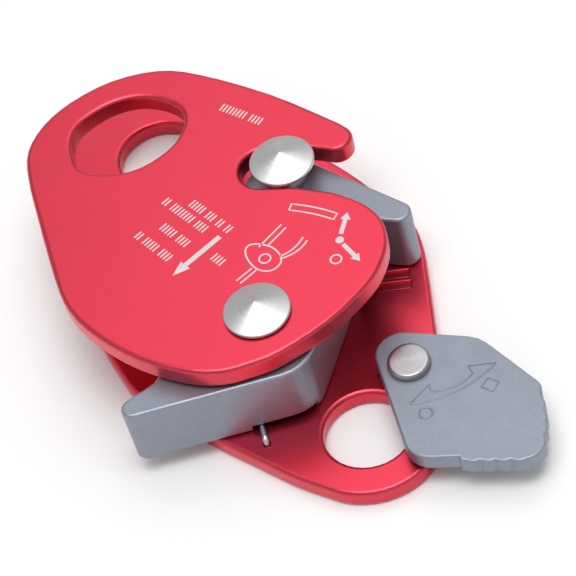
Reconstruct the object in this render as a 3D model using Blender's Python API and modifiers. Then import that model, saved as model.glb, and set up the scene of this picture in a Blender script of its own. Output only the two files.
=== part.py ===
"""Rope grab and descender: a swinging front plate over a sprung cam, a fixed anvil and a stop lever.

Sizes are in millimetres and MM turns them into metres. The origin is the pivot rivet's axis on the
rear face of the back plate. +X runs from the pivot rivet to the catch rivet, +Z out of the front plate.
"""
import bmesh
import bpy
from math import atan2, cos, degrees, hypot, pi, radians, sin, tan

MM = 0.001

# Plates and the rope gap between them, from the rear face up.
BACK_THICKNESS = 4.2
ROPE_GAP = 15.8
FRONT_THICKNESS = 5.0
BACK_TOP = BACK_THICKNESS
FRONT_LOW = BACK_TOP + ROPE_GAP
FRONT_TOP = FRONT_LOW + FRONT_THICKNESS
PLATE_ROUND = 1.0
BLOCK_ROUND = 0.7
FACE_GAP = 0.3
BLOCK_LOW = BACK_TOP + FACE_GAP
BLOCK_TOP = FRONT_LOW - FACE_GAP

# The three axes that the pieces are riveted on.
PIVOT = (0.0, 0.0)
CATCH = (40.0, 0.0)
LEVER_PIN = (-1.6, -28.7)

# Rivets: a conical turned head in front, a countersunk tail flush with the rear face.
HEAD_RADIUS = 7.0
HEAD_LOW = FRONT_TOP + 0.25
HEAD_RIM = 0.7
HEAD_CONE = 2.45
PIVOT_SHANK = 3.6
CATCH_SHANK = 3.2
SLEEVE_RADIUS = 5.0
COLLAR_RADIUS = 4.3
TAIL_DEPTH = 1.7
TAIL_FLARE = 1.6
BORE_PLAY = 0.2

# Slot of the front plate: concentric with the pivot, so that it hooks round the catch collar.
SLOT_INNER = 33.5
SLOT_OUTER = 44.6
SLOT_END = 5.5
SLOT_MOUTH = -13.4
HOOK_TIP = (47.0, -10.6)
HOOK_TIP_RADIUS = 3.6

# Cam: its spring coil lies in a pocket round the sleeve.
CAM_TRAVEL = 26.0
CAM_TOP = 19.5
POCKET_RADIUS = 7.2
POCKET_ROOF = 9.9
BUSH_RADIUS = 6.1
WASHER_RADIUS = 9.0
WIRE_RADIUS = 0.65
COIL_RADIUS = 5.85
COIL_PITCH = 1.5
COIL_TURNS = 2.5
COIL_START = 110.0
LEG_LENGTH = 15.7
LEG_HEIGHT = 5.2
FAN_REACH = 12.0
FAN_SPARE = 4.0
FAN_OPEN = 26.0
LEG_PLAY = 0.4

# Stop lever.
LEVER_LOW = BACK_TOP + 1.0
LEVER_THICKNESS = 4.0
LEVER_TOP = LEVER_LOW + LEVER_THICKNESS
LEVER_GO = -65.0
LEVER_STOP = 18.0
LEVER_SHANK = 2.4
LEVER_HEAD = 4.5
DETENT_RADIUS = 6.2
DETENT_ANGLE = 60.0
TRACK_OVERRUN = 16.0
BALL_RADIUS = 1.2
BALL_HEIGHT = BACK_TOP + BALL_RADIUS - 0.5

# Outlines, seen from the front. Smooth stretches run through their points.
FRONT_RIM = [(50.6, -11.8), (52.4, -9), (60.5, 5.4), (67.2, 22), (68.9, 32), (66.2, 42.3), (60.3, 50.6),
             (53.5, 55.7), (46, 57.7), (38.5, 56.2), (27.5, 52), (10, 44.7), (1.5, 40), (-5.2, 33),
             (-11, 23.5), (-14.4, 13.5), (-14.9, 6), (-13, -0.2), (-10, -6.1), (-2.3, -15.1),
             (7, -21.9), (13, -24.2), (18.7, -24.6), (24.4, -22.7), (28.9, -18), (31.9, -11.2)]
FRONT_HOLE = [(38.8, 35.7), (38.8, 40.9), (40.3, 44.8), (44.0, 47.0), (48.5, 48.2), (53, 47.5), (57, 44.1),
              (59.7, 40.1), (60.9, 35.4), (60.2, 30.4), (57.6, 25.7), (54, 23.6), (49, 24), (44.6, 26.4),
              (40.6, 30.9)]
BACK_LOBE = (-14.0, -20.5)
BACK_LOBE_RADIUS = 16.0
BACK_LOBE_HOLE = 9.1
BACK_EYE = (62.7, 35.3)
BACK_EYE_RIM = 22.0
BACK_EYE_HOLE = 9.4
BACK_EYE_SHIFT = (-8.7, -5.0)
BACK_LOW_EDGE = [(0, -34.6), (13.4, -31.9), (27, -29.2), (34.5, -27.4), (41.3, -24.1), (51.4, -13.8),
                 (57.9, -6), (70, 10.5)]
BACK_HIGH_EDGE = [(37, 51.2), (20, 45.6), (11.6, 41.5), (2.2, 35.3), (-4.2, 30.2), (-9.5, 23),
                  (-14.4, 14.5), (-21.2, 1.7), (-26, -7.4)]
GRIP_GROOVES = [((25.0, -16.0), (26.3, -25.2)), ((21.9, -15.5), (23.3, -25.9))]
GROOVE_WIDTH = 1.8
GROOVE_DEPTH = 0.6

# Blocks and lever as polygons with a fillet radius at each corner, (x, y, radius).
CAM_CORNERS = [(-25.4, 35.3, 2.4), (-10.3, -10.2, 8.0), (20.5, -15.6, 3.5), (21.5, -5.0, 6.0),
               (8.0, 10.5, 14.0), (-13.3, 21.0, 1.5)]
ANVIL_CORNERS = [(26.1, -38.0, 2.7), (49.2, 3.0, 6.5), (44.5, 7.4, 4.0), (32.1, 11.8, 7.0)]
ANVIL_DOWELS = {"anvil_dowel_upper": (36.2, -10.5), "anvil_dowel_lower": (32.0, -20.5)}
DOWEL_RADIUS = 1.5
LEVER_SMOOTH = [(-6.8, -55.9, 3.0), (5.2, -42.4, 7.0), (7.7, -18.5, 5.5), (-24.7, -30.9, 5.5)]
THUMB_EDGE = [(-24.4, -40.7), (-25.2, -41.9), (-25.0, -53.9), (-22.7, -57.0), (-16.0, -57.3), (-10.0, -56.1)]
SCALLOP_PITCH = 2.8
SCALLOP_DEPTH = 0.5

RED = (0.62, 0.035, 0.06, 1.0)
CAST_GREY = (0.36, 0.38, 0.43, 1.0)
STEEL = (0.72, 0.72, 0.73, 1.0)
BRONZE = (0.55, 0.38, 0.2, 1.0)


def clear_scene():
    """Remove every object of the start-up scene."""
    for thing in list(bpy.data.objects):
        bpy.data.objects.remove(thing, do_unlink=True)


def collection(name):
    """Return a new collection linked to the scene."""
    group = bpy.data.collections.new(name)
    bpy.context.scene.collection.children.link(group)
    return group


def finish_material(name, colour, roughness, metallic):
    """Return a plain Principled material."""
    material = bpy.data.materials.new(name)
    material.use_nodes = True
    shader = material.node_tree.nodes["Principled BSDF"]
    shader.inputs["Base Color"].default_value = colour
    shader.inputs["Roughness"].default_value = roughness
    shader.inputs["Metallic"].default_value = metallic
    return material


# Outlines

def polar(centre, radius, angle):
    """Return the point at a radius and an angle in degrees round a centre."""
    return (centre[0] + radius * cos(radians(angle)), centre[1] + radius * sin(radians(angle)))


def arc(centre, radius, start, end, steps):
    """Return points along an arc, both ends included."""
    return [polar(centre, radius, start + (end - start) * k / steps) for k in range(steps + 1)]


def circle(centre, radius, steps=32):
    """Return a closed circle's points."""
    return arc(centre, radius, 0, 360, steps)[:-1]


def smooth(points, steps=4, closed=False):
    """Return a Catmull-Rom curve through the points."""
    count = len(points)
    out = []
    for i in range(count if closed else count - 1):
        if closed:
            a, b, c, d = (points[(i + k - 1) % count] for k in range(4))
        else:
            a, b, c, d = (points[min(max(i + k - 1, 0), count - 1)] for k in range(4))
        for k in range(steps):
            t = k / steps
            out.append(tuple(0.5 * (2 * b[n] + (c[n] - a[n]) * t
                                    + (2 * a[n] - 5 * b[n] + 4 * c[n] - d[n]) * t ** 2
                                    + (3 * b[n] - a[n] - 3 * c[n] + d[n]) * t ** 3) for n in (0, 1)))
    return out if closed else out + [points[-1]]


def fillet(before, corner, after, radius, step_angle=15.0):
    """Return the arc that rounds one corner of a polygon."""
    ux, uy = before[0] - corner[0], before[1] - corner[1]
    vx, vy = after[0] - corner[0], after[1] - corner[1]
    lu, lv = hypot(ux, uy), hypot(vx, vy)
    ux, uy, vx, vy = ux / lu, uy / lu, vx / lv, vy / lv
    half = 0.5 * abs(atan2(ux * vy - uy * vx, ux * vx + uy * vy))
    wx, wy = ux + vx, uy + vy
    lw = hypot(wx, wy)
    reach = radius / sin(half)
    centre = (corner[0] + wx / lw * reach, corner[1] + wy / lw * reach)
    run = radius / tan(half)
    start = degrees(atan2(corner[1] + uy * run - centre[1], corner[0] + ux * run - centre[0]))
    end = degrees(atan2(corner[1] + vy * run - centre[1], corner[0] + vx * run - centre[0]))
    sweep = (end - start + 180) % 360 - 180
    return arc(centre, radius, start, start + sweep, max(2, round(abs(sweep) / step_angle)))


def rounded(corners):
    """Return a closed polygon whose corners (x, y, radius) are filleted."""
    out = []
    for i, (x, y, radius) in enumerate(corners):
        out += fillet(corners[i - 1], (x, y), corners[(i + 1) % len(corners)], radius)
    return out


def scalloped(points, pitch, depth):
    """Return a run of points with shallow round lobes standing out of each straight stretch."""
    out = []
    for (ax, ay), (bx, by) in zip(points, points[1:]):
        length = hypot(bx - ax, by - ay)
        lobes = round(length / pitch)
        nx, ny = (by - ay) / length, -(bx - ax) / length
        steps = max(1, lobes * 4)
        for k in range(steps):
            t = k / steps
            rise = depth * abs(sin(pi * lobes * t))
            out.append((ax + (bx - ax) * t + nx * rise, ay + (by - ay) * t + ny * rise))
    return out + [points[-1]]


def front_outline():
    """Return the front plate's outline, anticlockwise, with its hook slot."""
    slot_middle = (SLOT_INNER + SLOT_OUTER) / 2
    return (smooth(FRONT_RIM, 3)
            + arc(PIVOT, SLOT_INNER, -8, SLOT_END, 3)
            + arc(polar(PIVOT, slot_middle, SLOT_END), (SLOT_OUTER - SLOT_INNER) / 2,
                  170 + SLOT_END, 10 + SLOT_END, 10)
            + arc(PIVOT, SLOT_OUTER, SLOT_END, SLOT_MOUTH, 4)
            + arc(HOOK_TIP, HOOK_TIP_RADIUS, 182, 318, 9))


def back_outline():
    """Return the back plate's outline, anticlockwise."""
    lobe = arc(BACK_LOBE, BACK_LOBE_RADIUS, 165, 280, 14)
    eye = arc(BACK_EYE, BACK_EYE_RIM, -38, 100, 16)
    low = smooth([lobe[-1]] + BACK_LOW_EDGE + [eye[0]], 3)[1:-1]
    high = smooth([eye[-1]] + BACK_HIGH_EDGE + [lobe[0]], 3)[1:-1]
    return lobe + low + eye + high


def back_eye():
    """Return the long connector hole of the back plate, which runs towards the pivot."""
    inner = (BACK_EYE[0] + BACK_EYE_SHIFT[0], BACK_EYE[1] + BACK_EYE_SHIFT[1])
    along = degrees(atan2(-BACK_EYE_SHIFT[1], -BACK_EYE_SHIFT[0]))
    return (arc(BACK_EYE, BACK_EYE_HOLE, along - 90, along + 90, 16)
            + arc(inner, BACK_EYE_HOLE, along + 90, along + 270, 16))


def lever_outline():
    """Return the lever's outline, anticlockwise, with its scalloped thumb edge."""
    thumb = scalloped(THUMB_EDGE, SCALLOP_PITCH, SCALLOP_DEPTH)
    corners = [THUMB_EDGE[-1]] + LEVER_SMOOTH + [THUMB_EDGE[0]]
    sides = []
    for i in range(1, len(corners) - 1):
        sides += fillet(corners[i - 1], corners[i][:2], corners[i + 1], corners[i][2])
    return thumb + sides


# Solids

def add_mesh(name, mesh, group, material=None):
    """Return a new object for a mesh, in its collection and with its material."""
    thing = bpy.data.objects.new(name, mesh)
    group.objects.link(thing)
    if material:
        mesh.materials.clear()
        mesh.materials.append(material)
    return thing


def as_mesh(thing, name):
    """Return a curve or modified object's evaluated mesh with its seams welded, and remove the object."""
    bpy.context.view_layer.update()
    source = thing.evaluated_get(bpy.context.evaluated_depsgraph_get())
    mesh = bpy.data.meshes.new_from_object(source)
    mesh.transform(thing.matrix_world)
    mesh.name = name
    bpy.data.objects.remove(thing, do_unlink=True)
    work = bmesh.new()
    work.from_mesh(mesh)
    bmesh.ops.remove_doubles(work, verts=work.verts, dist=1e-6)
    bmesh.ops.dissolve_degenerate(work, edges=work.edges, dist=1e-7)
    bmesh.ops.recalc_face_normals(work, faces=work.faces)
    work.to_mesh(mesh)
    work.free()
    return mesh


def slab(name, loops, low, top, group, material=None, rounding=0.0):
    """Return a flat piece between two heights, from closed outlines: the rim first, then its holes."""
    curve = bpy.data.curves.new(name, "CURVE")
    curve.dimensions = "2D"
    curve.fill_mode = "BOTH"
    curve.extrude = (top - low) / 2 * MM - rounding * MM
    curve.bevel_depth = rounding * MM
    curve.bevel_resolution = 1
    curve.offset = -rounding * MM
    for loop in loops:
        spline = curve.splines.new("POLY")
        spline.points.add(len(loop) - 1)
        for point, (x, y) in zip(spline.points, loop):
            point.co = (x * MM, y * MM, 0, 1)
        spline.use_cyclic_u = True
    thing = bpy.data.objects.new(name, curve)
    group.objects.link(thing)
    thing.location.z = (low + top) / 2 * MM
    return add_mesh(name, as_mesh(thing, name), group, material)


def turned(name, profile, centre, group, material=None, steps=32):
    """Return a turned solid: its profile (radius, height) runs down the outer side, top to bottom."""
    mesh = bpy.data.meshes.new(name)
    mesh.from_pydata([(r * MM, 0, z * MM) for r, z in profile],
                     [(i, i + 1) for i in range(len(profile) - 1)], [])
    thing = bpy.data.objects.new(name, mesh)
    group.objects.link(thing)
    thing.location = (centre[0] * MM, centre[1] * MM, 0)
    screw = thing.modifiers.new("turn", "SCREW")
    screw.steps = screw.render_steps = steps
    screw.use_merge_vertices = True
    screw.merge_threshold = 1e-6
    return add_mesh(name, as_mesh(thing, name), group, material)


def ring(name, inner, outer, low, top, centre, group, material=None, steps=32):
    """Return a plain ring: a bush, sleeve, collar or washer."""
    profile = [(inner, top), (outer, top), (outer, low), (inner, low), (inner, top)]
    return turned(name, profile, centre, group, material, steps)


def rod(name, radius, low, top, centre, group, material=None, steps=24):
    """Return a plain round bar."""
    profile = [(0, top), (radius, top), (radius, low), (0, low)]
    return turned(name, profile, centre, group, material, steps)


def wire(name, points, radius, group, material=None, resolution=2):
    """Return a round wire along the points, in millimetres."""
    curve = bpy.data.curves.new(name, "CURVE")
    curve.dimensions = "3D"
    curve.bevel_depth = radius * MM
    curve.bevel_resolution = resolution
    curve.use_fill_caps = True
    spline = curve.splines.new("POLY")
    spline.points.add(len(points) - 1)
    for point, place in zip(spline.points, points):
        point.co = (place[0] * MM, place[1] * MM, place[2] * MM, 1)
    thing = bpy.data.objects.new(name, curve)
    group.objects.link(thing)
    return add_mesh(name, as_mesh(thing, name), group, material)


def cut(target, *cutters):
    """Cut closed solids out of a piece."""
    for cutter in cutters:
        cutter.hide_render = True
        cutter.display_type = "WIRE"
        boolean = target.modifiers.new("cut " + cutter.name, "BOOLEAN")
        boolean.operation = "DIFFERENCE"
        boolean.object = cutter


def shade(thing, angle=35.0):
    """Shade a piece smooth up to an angle."""
    thing.data.shade_smooth()
    thing.data.set_sharp_from_angle(angle=radians(angle))


def move_origin(thing, centre):
    """Put a piece's origin on its joint's axis."""
    shift = (centre[0] * MM, centre[1] * MM)
    for vertex in thing.data.vertices:
        vertex.co.x -= shift[0]
        vertex.co.y -= shift[1]
    thing.location.x += shift[0]
    thing.location.y += shift[1]


def countersink(name, centre, shank, cutters):
    """Return the cutter for a rivet's bore and its flush tail."""
    bore = shank + BORE_PLAY
    profile = [(0, BACK_TOP + 1), (bore, BACK_TOP + 1), (bore, TAIL_DEPTH + BORE_PLAY),
               (bore + TAIL_FLARE, 0), (bore + TAIL_FLARE, -1), (0, -1)]
    return turned(name, profile, centre, cutters)


# Sub-parts

def build_back_plate(parts, cutters, red):
    """Build the fixed back plate with its eyes, rivet seats, grip grooves and lever track."""
    plate = slab("back_plate", [back_outline(), back_eye(), circle(BACK_LOBE, BACK_LOBE_HOLE, 36)],
                 0, BACK_TOP, parts, red, PLATE_ROUND)
    cut(plate,
        countersink("pivot seat", PIVOT, PIVOT_SHANK, cutters),
        countersink("catch seat", CATCH, CATCH_SHANK, cutters),
        countersink("lever seat", LEVER_PIN, LEVER_SHANK, cutters))
    for name, centre in ANVIL_DOWELS.items():
        cut(plate, rod(name + " seat", DOWEL_RADIUS + BORE_PLAY, 1.4, BACK_TOP + 1, centre, cutters))
    for i, (start, end) in enumerate(GRIP_GROOVES):
        along = degrees(atan2(end[1] - start[1], end[0] - start[0]))
        half = GROOVE_WIDTH / 2
        loop = arc(start, half, along + 90, along + 270, 1) + arc(end, half, along - 90, along + 90, 1)
        cut(plate, slab(f"grip groove {i}", [loop], BACK_TOP - GROOVE_DEPTH, BACK_TOP + 1, cutters))
    leg_end = spring_leg_end()
    cut(plate, rod("spring leg seat", WIRE_RADIUS + BORE_PLAY, -1, BACK_TOP + 1, leg_end, cutters, steps=16))
    track = arc(LEVER_PIN, DETENT_RADIUS, DETENT_ANGLE + LEVER_GO - TRACK_OVERRUN,
                DETENT_ANGLE + LEVER_STOP + TRACK_OVERRUN, 20)
    cut(plate, wire("detent track", [(x, y, BALL_HEIGHT) for x, y in track], BALL_RADIUS + 0.2, cutters))
    return plate


def build_front_plate(parts, cutters, red):
    """Build the swinging front plate, with the hook slot that catches the collar."""
    plate = slab("front_plate", [front_outline(), smooth(FRONT_HOLE, 3, closed=True)],
                 FRONT_LOW, FRONT_TOP, parts, red, PLATE_ROUND)
    cut(plate, rod("front plate bore", BUSH_RADIUS + 0.3, FRONT_LOW - 1, FRONT_TOP + 1, PIVOT, cutters, steps=32))
    return plate


def rivet(name, centre, shank, head_low, head, parts, steel):
    """Build a rivet from its head profile, its shank and its flush countersunk tail."""
    tail = [(shank, TAIL_DEPTH), (shank + TAIL_FLARE - 0.1, 0), (0, 0)]
    return turned(name, head + [(shank, head_low)] + tail, centre, parts, steel)


def cone_head(low):
    """Return the profile of a large rivet head, a shallow turned cone over a low rim."""
    rim = low + HEAD_RIM
    return [(0, rim + HEAD_CONE), (HEAD_RADIUS - 0.5, rim + 0.2), (HEAD_RADIUS - 0.1, rim - 0.05),
            (HEAD_RADIUS, rim - 0.3), (HEAD_RADIUS, low)]


def button_head(low):
    """Return the profile of the lever rivet's flat head with a rounded edge."""
    return [(0, low + 1.45), (LEVER_HEAD - 0.9, low + 1.4), (LEVER_HEAD - 0.3, low + 1.15),
            (LEVER_HEAD, low + 0.6), (LEVER_HEAD, low)]


def build_rivets(parts, steel):
    """Build the three rivets, and the sleeve and collar that space the plates."""
    rivet("pivot_rivet", PIVOT, PIVOT_SHANK, HEAD_LOW, cone_head(HEAD_LOW), parts, steel)
    rivet("catch_rivet", CATCH, CATCH_SHANK, HEAD_LOW, cone_head(HEAD_LOW), parts, steel)
    low = LEVER_TOP + 0.15
    rivet("lever_rivet", LEVER_PIN, LEVER_SHANK, low, button_head(low), parts, steel)
    ring("pivot_sleeve", PIVOT_SHANK + BORE_PLAY, SLEEVE_RADIUS, BACK_TOP + 0.1, HEAD_LOW - 0.1,
         PIVOT, parts, steel)
    ring("catch_collar", CATCH_SHANK + BORE_PLAY, COLLAR_RADIUS, BLOCK_TOP + 0.1, HEAD_LOW - 0.1,
         CATCH, parts, steel)


def spring_leg_line(turn=0.0):
    """Return the start and end of the spring's straight lower leg, which leaves the coil along its tangent."""
    start = polar(PIVOT, COIL_RADIUS, COIL_START + turn)
    heading = radians(COIL_START + 90 + turn)
    return start, (start[0] + LEG_LENGTH * cos(heading), start[1] + LEG_LENGTH * sin(heading))


def spring_leg_end():
    """Return the place where the lower leg turns down into the back plate."""
    (ax, ay), (bx, by) = spring_leg_line()
    extra = 1 + 1.0 / LEG_LENGTH
    return ax + (bx - ax) * extra, ay + (by - ay) * extra


def build_spring(parts, steel):
    """Build the torsion spring: lower leg in the back plate, coil round the sleeve, upper end in the cam."""
    start, end = spring_leg_line()
    down = spring_leg_end()
    points = [(*down, 1.2), (*down, LEG_HEIGHT - 1.1), (*end, LEG_HEIGHT)]
    steps_per_turn = 16
    steps = round(COIL_TURNS * steps_per_turn)
    for k in range(steps + 1):
        angle = COIL_START - 360 * k / steps_per_turn
        rise = COIL_PITCH * k / steps_per_turn
        points.append((*polar(PIVOT, COIL_RADIUS, angle), LEG_HEIGHT + rise))
    top = points[-1]
    points.append((top[0], top[1], top[2] + 2.6))
    return wire("cam_spring", points, WIRE_RADIUS, parts, steel, resolution=1)


def build_cam(parts, cutters, grey, bronze, steel):
    """Build the cam block with its spring pocket, its bush and its thrust washer."""
    cam = slab("cam_block", [rounded(CAM_CORNERS)], BLOCK_LOW, CAM_TOP, parts, grey, BLOCK_ROUND)
    profile = [(0, CAM_TOP + 1), (WASHER_RADIUS + 0.2, CAM_TOP + 1), (WASHER_RADIUS + 0.2, CAM_TOP - 0.3),
               (BUSH_RADIUS + 0.1, CAM_TOP - 0.3), (BUSH_RADIUS + 0.1, POCKET_ROOF),
               (POCKET_RADIUS, POCKET_ROOF), (POCKET_RADIUS, BLOCK_LOW - 1), (0, BLOCK_LOW - 1)]
    cut(cam, turned("cam bore", profile, PIVOT, cutters))
    fan = [(0.0, 0.0)]
    for turn in (-FAN_SPARE, CAM_TRAVEL + FAN_OPEN):
        (ax, ay), (bx, by) = spring_leg_line(turn)
        stretch = 1 + FAN_REACH / LEG_LENGTH
        side = -1.0 if turn < 0 else 1.0
        off = polar((0, 0), side * (WIRE_RADIUS + LEG_PLAY), COIL_START + 180 + turn)
        run = [(ax + off[0], ay + off[1]), (ax + (bx - ax) * stretch + off[0], ay + (by - ay) * stretch + off[1])]
        fan += run if turn < 0 else run[::-1]
    cut(cam, slab("spring leg fan", [fan], BLOCK_LOW - 1, LEG_HEIGHT + WIRE_RADIUS + 0.3, cutters))
    coil_end = COIL_START - 360 * COIL_TURNS
    tail = (arc(PIVOT, COIL_RADIUS + 1.2, coil_end - 12, coil_end + CAM_TRAVEL + 12, 6)
            + arc(PIVOT, COIL_RADIUS - 1.2, coil_end + CAM_TRAVEL + 12, coil_end - 12, 6))
    cut(cam, slab("spring tail slot", [tail], POCKET_ROOF - 1, POCKET_ROOF + 2.8, cutters))
    bush = ring("cam_bush", SLEEVE_RADIUS + 0.1, BUSH_RADIUS, POCKET_ROOF + 3.2, CAM_TOP - 0.4, PIVOT,
                parts, bronze)
    washer = ring("cam_thrust_washer", SLEEVE_RADIUS + 0.15, WASHER_RADIUS, CAM_TOP - 0.2, CAM_TOP + 0.3,
                  PIVOT, parts, steel)
    return cam, bush, washer


def build_anvil(parts, cutters, grey, steel):
    """Build the fixed anvil block and the two dowels that stop it turning."""
    anvil = slab("anvil_block", [rounded(ANVIL_CORNERS)], BLOCK_LOW, BLOCK_TOP, parts, grey, BLOCK_ROUND)
    cut(anvil, rod("anvil bore", CATCH_SHANK + BORE_PLAY, BLOCK_LOW - 1, BLOCK_TOP + 1, CATCH, cutters))
    for name, centre in ANVIL_DOWELS.items():
        cut(anvil, rod(name + " bore", DOWEL_RADIUS + BORE_PLAY, BLOCK_LOW - 1, BLOCK_LOW + 6.2, centre, cutters))
        rod(name, DOWEL_RADIUS, 1.6, BLOCK_LOW + 6.0, centre, parts, steel)
    return anvil


def build_lever(parts, cutters, grey, steel):
    """Build the stop lever, its two washers, and the sprung ball that holds its position."""
    lever = slab("stop_lever", [lever_outline()], LEVER_LOW, LEVER_TOP, parts, grey, 0.4)
    profile = [(0, LEVER_TOP + 1), (3.9, LEVER_TOP + 1), (3.9, LEVER_TOP - 1.0),
               (LEVER_SHANK + BORE_PLAY, LEVER_TOP - 1.0), (LEVER_SHANK + BORE_PLAY, LEVER_LOW - 1),
               (0, LEVER_LOW - 1)]
    cut(lever, turned("lever bore", profile, LEVER_PIN, cutters, steps=24))
    seat = polar(LEVER_PIN, DETENT_RADIUS, DETENT_ANGLE)
    cut(lever, rod("ball seat", BALL_RADIUS + 0.15, LEVER_LOW - 1, LEVER_TOP - 0.9, seat, cutters, steps=16))
    low_washer = ring("lever_washer", LEVER_SHANK + BORE_PLAY, 4.7, BACK_TOP + 0.1, LEVER_LOW - 0.1,
                      LEVER_PIN, parts, steel, steps=24)
    top_washer = ring("lever_spring_washer", LEVER_SHANK + BORE_PLAY, 3.7, LEVER_TOP - 0.85, LEVER_TOP - 0.05,
                      LEVER_PIN, parts, steel, steps=24)
    points = 7
    profile = [(BALL_RADIUS * sin(pi * k / points), BALL_HEIGHT + BALL_RADIUS * cos(pi * k / points))
               for k in range(points + 1)]
    ball = turned("detent_ball", profile, seat, parts, steel, steps=12)
    spring_low = BALL_HEIGHT + BALL_RADIUS + 0.35
    turns, steps_per_turn = 3, 10
    pitch = (LEVER_TOP - 1.35 - spring_low) / turns
    helix = [(*polar(seat, 0.8, 360 * k / steps_per_turn), spring_low + pitch * k / steps_per_turn)
             for k in range(turns * steps_per_turn + 1)]
    spring = wire("detent_spring", helix, 0.2, parts, steel, resolution=1)
    for piece in (lever, low_washer, top_washer, ball, spring):
        move_origin(piece, LEVER_PIN)


def main():
    """Build every piece in its place."""
    clear_scene()
    parts = collection("rope_descender")
    cutters = collection("cutters")
    red = finish_material("red anodised", RED, 0.35, 0.6)
    grey = finish_material("cast grey", CAST_GREY, 0.5, 0.7)
    steel = finish_material("turned steel", STEEL, 0.28, 1.0)
    bronze = finish_material("bronze", BRONZE, 0.4, 0.9)
    build_back_plate(parts, cutters, red)
    build_front_plate(parts, cutters, red)
    ring("front_plate_bush", SLEEVE_RADIUS + 0.1, BUSH_RADIUS, FRONT_LOW + 0.1, FRONT_TOP - 0.1, PIVOT,
         parts, bronze)
    build_rivets(parts, steel)
    build_cam(parts, cutters, grey, bronze, steel)
    build_spring(parts, steel)
    build_anvil(parts, cutters, grey, steel)
    build_lever(parts, cutters, grey, steel)
    for piece in parts.objects:
        shade(piece)


main()
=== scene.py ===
"""Looks of a rope grab with a stop lever: red anodised plates, grey castings and turned rivets.

Every piece is modelled round the fixed frame. Lengths are in millimetres, and MM turns them into metres.
The frame's origin is the pivot rivet's axis on the rear face, +X runs to the catch rivet and +Z to the front.
"""
import logging
from dataclasses import dataclass, field
from enum import Enum
from math import atan2, cos, degrees, hypot, pi, radians, sin

import bpy
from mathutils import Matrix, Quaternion, Vector


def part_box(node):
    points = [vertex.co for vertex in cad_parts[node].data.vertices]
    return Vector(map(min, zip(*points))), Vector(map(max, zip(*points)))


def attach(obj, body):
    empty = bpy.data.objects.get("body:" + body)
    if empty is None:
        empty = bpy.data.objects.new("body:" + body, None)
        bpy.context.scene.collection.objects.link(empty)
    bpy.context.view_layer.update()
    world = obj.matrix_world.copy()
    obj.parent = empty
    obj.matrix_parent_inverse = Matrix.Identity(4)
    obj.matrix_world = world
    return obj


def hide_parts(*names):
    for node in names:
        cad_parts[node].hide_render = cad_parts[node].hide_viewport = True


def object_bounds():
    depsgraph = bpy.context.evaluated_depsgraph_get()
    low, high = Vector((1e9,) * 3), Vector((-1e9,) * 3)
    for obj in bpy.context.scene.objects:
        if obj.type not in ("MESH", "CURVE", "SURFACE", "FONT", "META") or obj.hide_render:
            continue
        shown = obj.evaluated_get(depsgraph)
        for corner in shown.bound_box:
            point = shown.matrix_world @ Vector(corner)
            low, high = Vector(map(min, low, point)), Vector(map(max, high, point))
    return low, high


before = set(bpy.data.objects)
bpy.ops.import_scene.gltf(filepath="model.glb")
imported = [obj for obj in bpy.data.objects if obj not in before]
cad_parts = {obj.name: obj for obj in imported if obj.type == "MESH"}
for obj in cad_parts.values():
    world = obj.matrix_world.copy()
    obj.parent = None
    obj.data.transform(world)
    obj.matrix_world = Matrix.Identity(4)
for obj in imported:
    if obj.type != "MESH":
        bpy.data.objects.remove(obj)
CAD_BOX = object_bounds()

MM = 0.001
LOG = logging.getLogger("rope_grab")

Point = tuple[float, float]
Loop = list[Point]
Triple = tuple[float, float, float]
Socket = bpy.types.NodeSocket
Piece = bpy.types.Object


class Body(Enum):
    """The bodies that move on their own."""

    FRAME = "frame"
    COVER = "front_cover"
    CAM = "cam"
    LEVER = "lever"


class Slot(Enum):
    """The record's material slots."""

    RED = "red_anodised"
    CAST = "cast_steel"
    TURNED = "turned_steel"
    WIRE = "spring_wire"
    BRONZE = "bearing_bronze"


# Modelling by hand: selection, edit mode and outlines


def activate(piece: Piece) -> None:
    """Select one piece alone and make it active."""
    bpy.ops.object.select_all(action="DESELECT")
    piece.hide_set(False)
    piece.select_set(True)
    bpy.context.view_layer.objects.active = piece


class EditMode:
    """Edit mode on one piece, with everything in its mesh selected or nothing."""

    def __init__(self, piece: Piece, select: str = "SELECT") -> None:
        """Remember the piece and what to select on entry."""
        self.piece = piece
        self.select = select

    def __enter__(self) -> Piece:
        """Enter edit mode on the piece."""
        activate(self.piece)
        bpy.ops.object.mode_set(mode="EDIT")
        bpy.ops.mesh.select_all(action=self.select)
        return self.piece

    def __exit__(self, *error: object) -> None:
        """Return to object mode."""
        bpy.ops.object.mode_set(mode="OBJECT")


def link_new(name: str, data: bpy.types.ID) -> Piece:
    """Return a new object made of data, in the scene."""
    made = bpy.data.objects.new(name, data)
    bpy.context.scene.collection.objects.link(made)
    return made


def weld(piece: Piece, reach: float = 0.001) -> None:
    """Merge a piece's doubled points and turn its faces outwards.

    Args:
        piece: the piece to close.
        reach: the largest distance between merged points, in millimetres.
    """
    with EditMode(piece):
        bpy.ops.mesh.remove_doubles(threshold=reach * MM)
        bpy.ops.mesh.select_all(action="SELECT")
        bpy.ops.mesh.normals_make_consistent(inside=False)


def soften(piece: Piece, angle: float = 32.0) -> None:
    """Shade a piece smooth, with creases only where its faces meet at more than an angle in degrees."""
    activate(piece)
    bpy.ops.object.shade_smooth_by_angle(angle=radians(angle))


def settle_place(piece: Piece) -> None:
    """Move a piece's place, turn and scale into its mesh."""
    activate(piece)
    bpy.ops.object.transform_apply(location=True, rotation=True, scale=True)


def cut(piece: Piece, *cutters: Piece) -> None:
    """Cut closed solids out of a piece and remove them."""
    for cutter in cutters:
        carve = piece.modifiers.new("carve", "BOOLEAN")
        carve.operation = "DIFFERENCE"
        carve.solver = "MANIFOLD"
        carve.object = cutter
        activate(piece)
        bpy.ops.object.modifier_apply(modifier=carve.name)
        bpy.data.objects.remove(cutter, do_unlink=True)


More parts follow.
